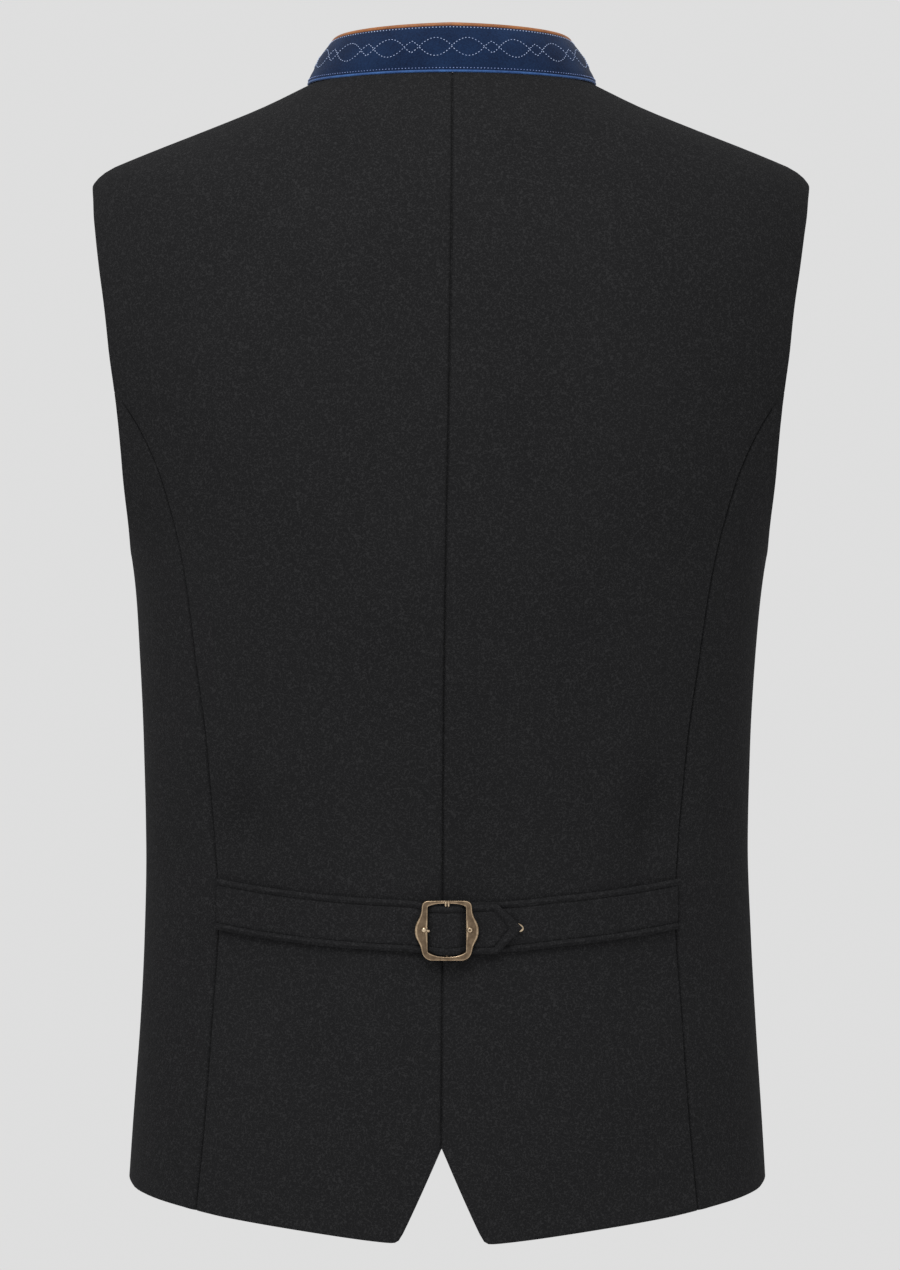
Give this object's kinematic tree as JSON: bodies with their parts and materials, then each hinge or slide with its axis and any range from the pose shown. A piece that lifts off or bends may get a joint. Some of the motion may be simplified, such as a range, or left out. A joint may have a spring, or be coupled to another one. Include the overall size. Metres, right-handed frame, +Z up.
{
  "type": "waistcoat",
  "caption": "Hollow worn-form waistcoat with a stand collar, buttoned front, seamed back, buckled waist belt and notched back hem.",
  "frame": {"origin": "midway between the wearer's shoulders, at the height where they carry the waistcoat", "axes": "+Z up, +Y towards the wearer's back, +X towards the wearer's left; the buttoned front faces -Y"},
  "size_m": [0.3996, 0.2547, 0.6599],
  "materials": {
    "wool": "black brushed wool with a short nap",
    "suede": "dark blue suede",
    "cord": "light blue satin cord",
    "leather": "tan leather edge",
    "brass": "antique brass, satin"
  },
  "bodies": {
    "root": {"back_left": "wool", "back_right": "wool", "side_left": "wool", "side_right": "wool", "front_left": "wool", "front_right": "wool", "collar": "suede", "collar_seam_piping": "cord", "collar_edge_piping": "leather", "belt_tongue": "wool", "belt_anchor": "wool", "buckle_frame": "brass", "buckle_bar": "brass", "buckle_peg": "brass", "buckle_rivet": "brass", "tip_catch": "brass", "button_1": "brass", "button_2": "brass", "button_3": "brass", "button_4": "brass", "button_5": "brass", "button_6": "brass", "button_7": "brass"}
  },
  "joints": []
}
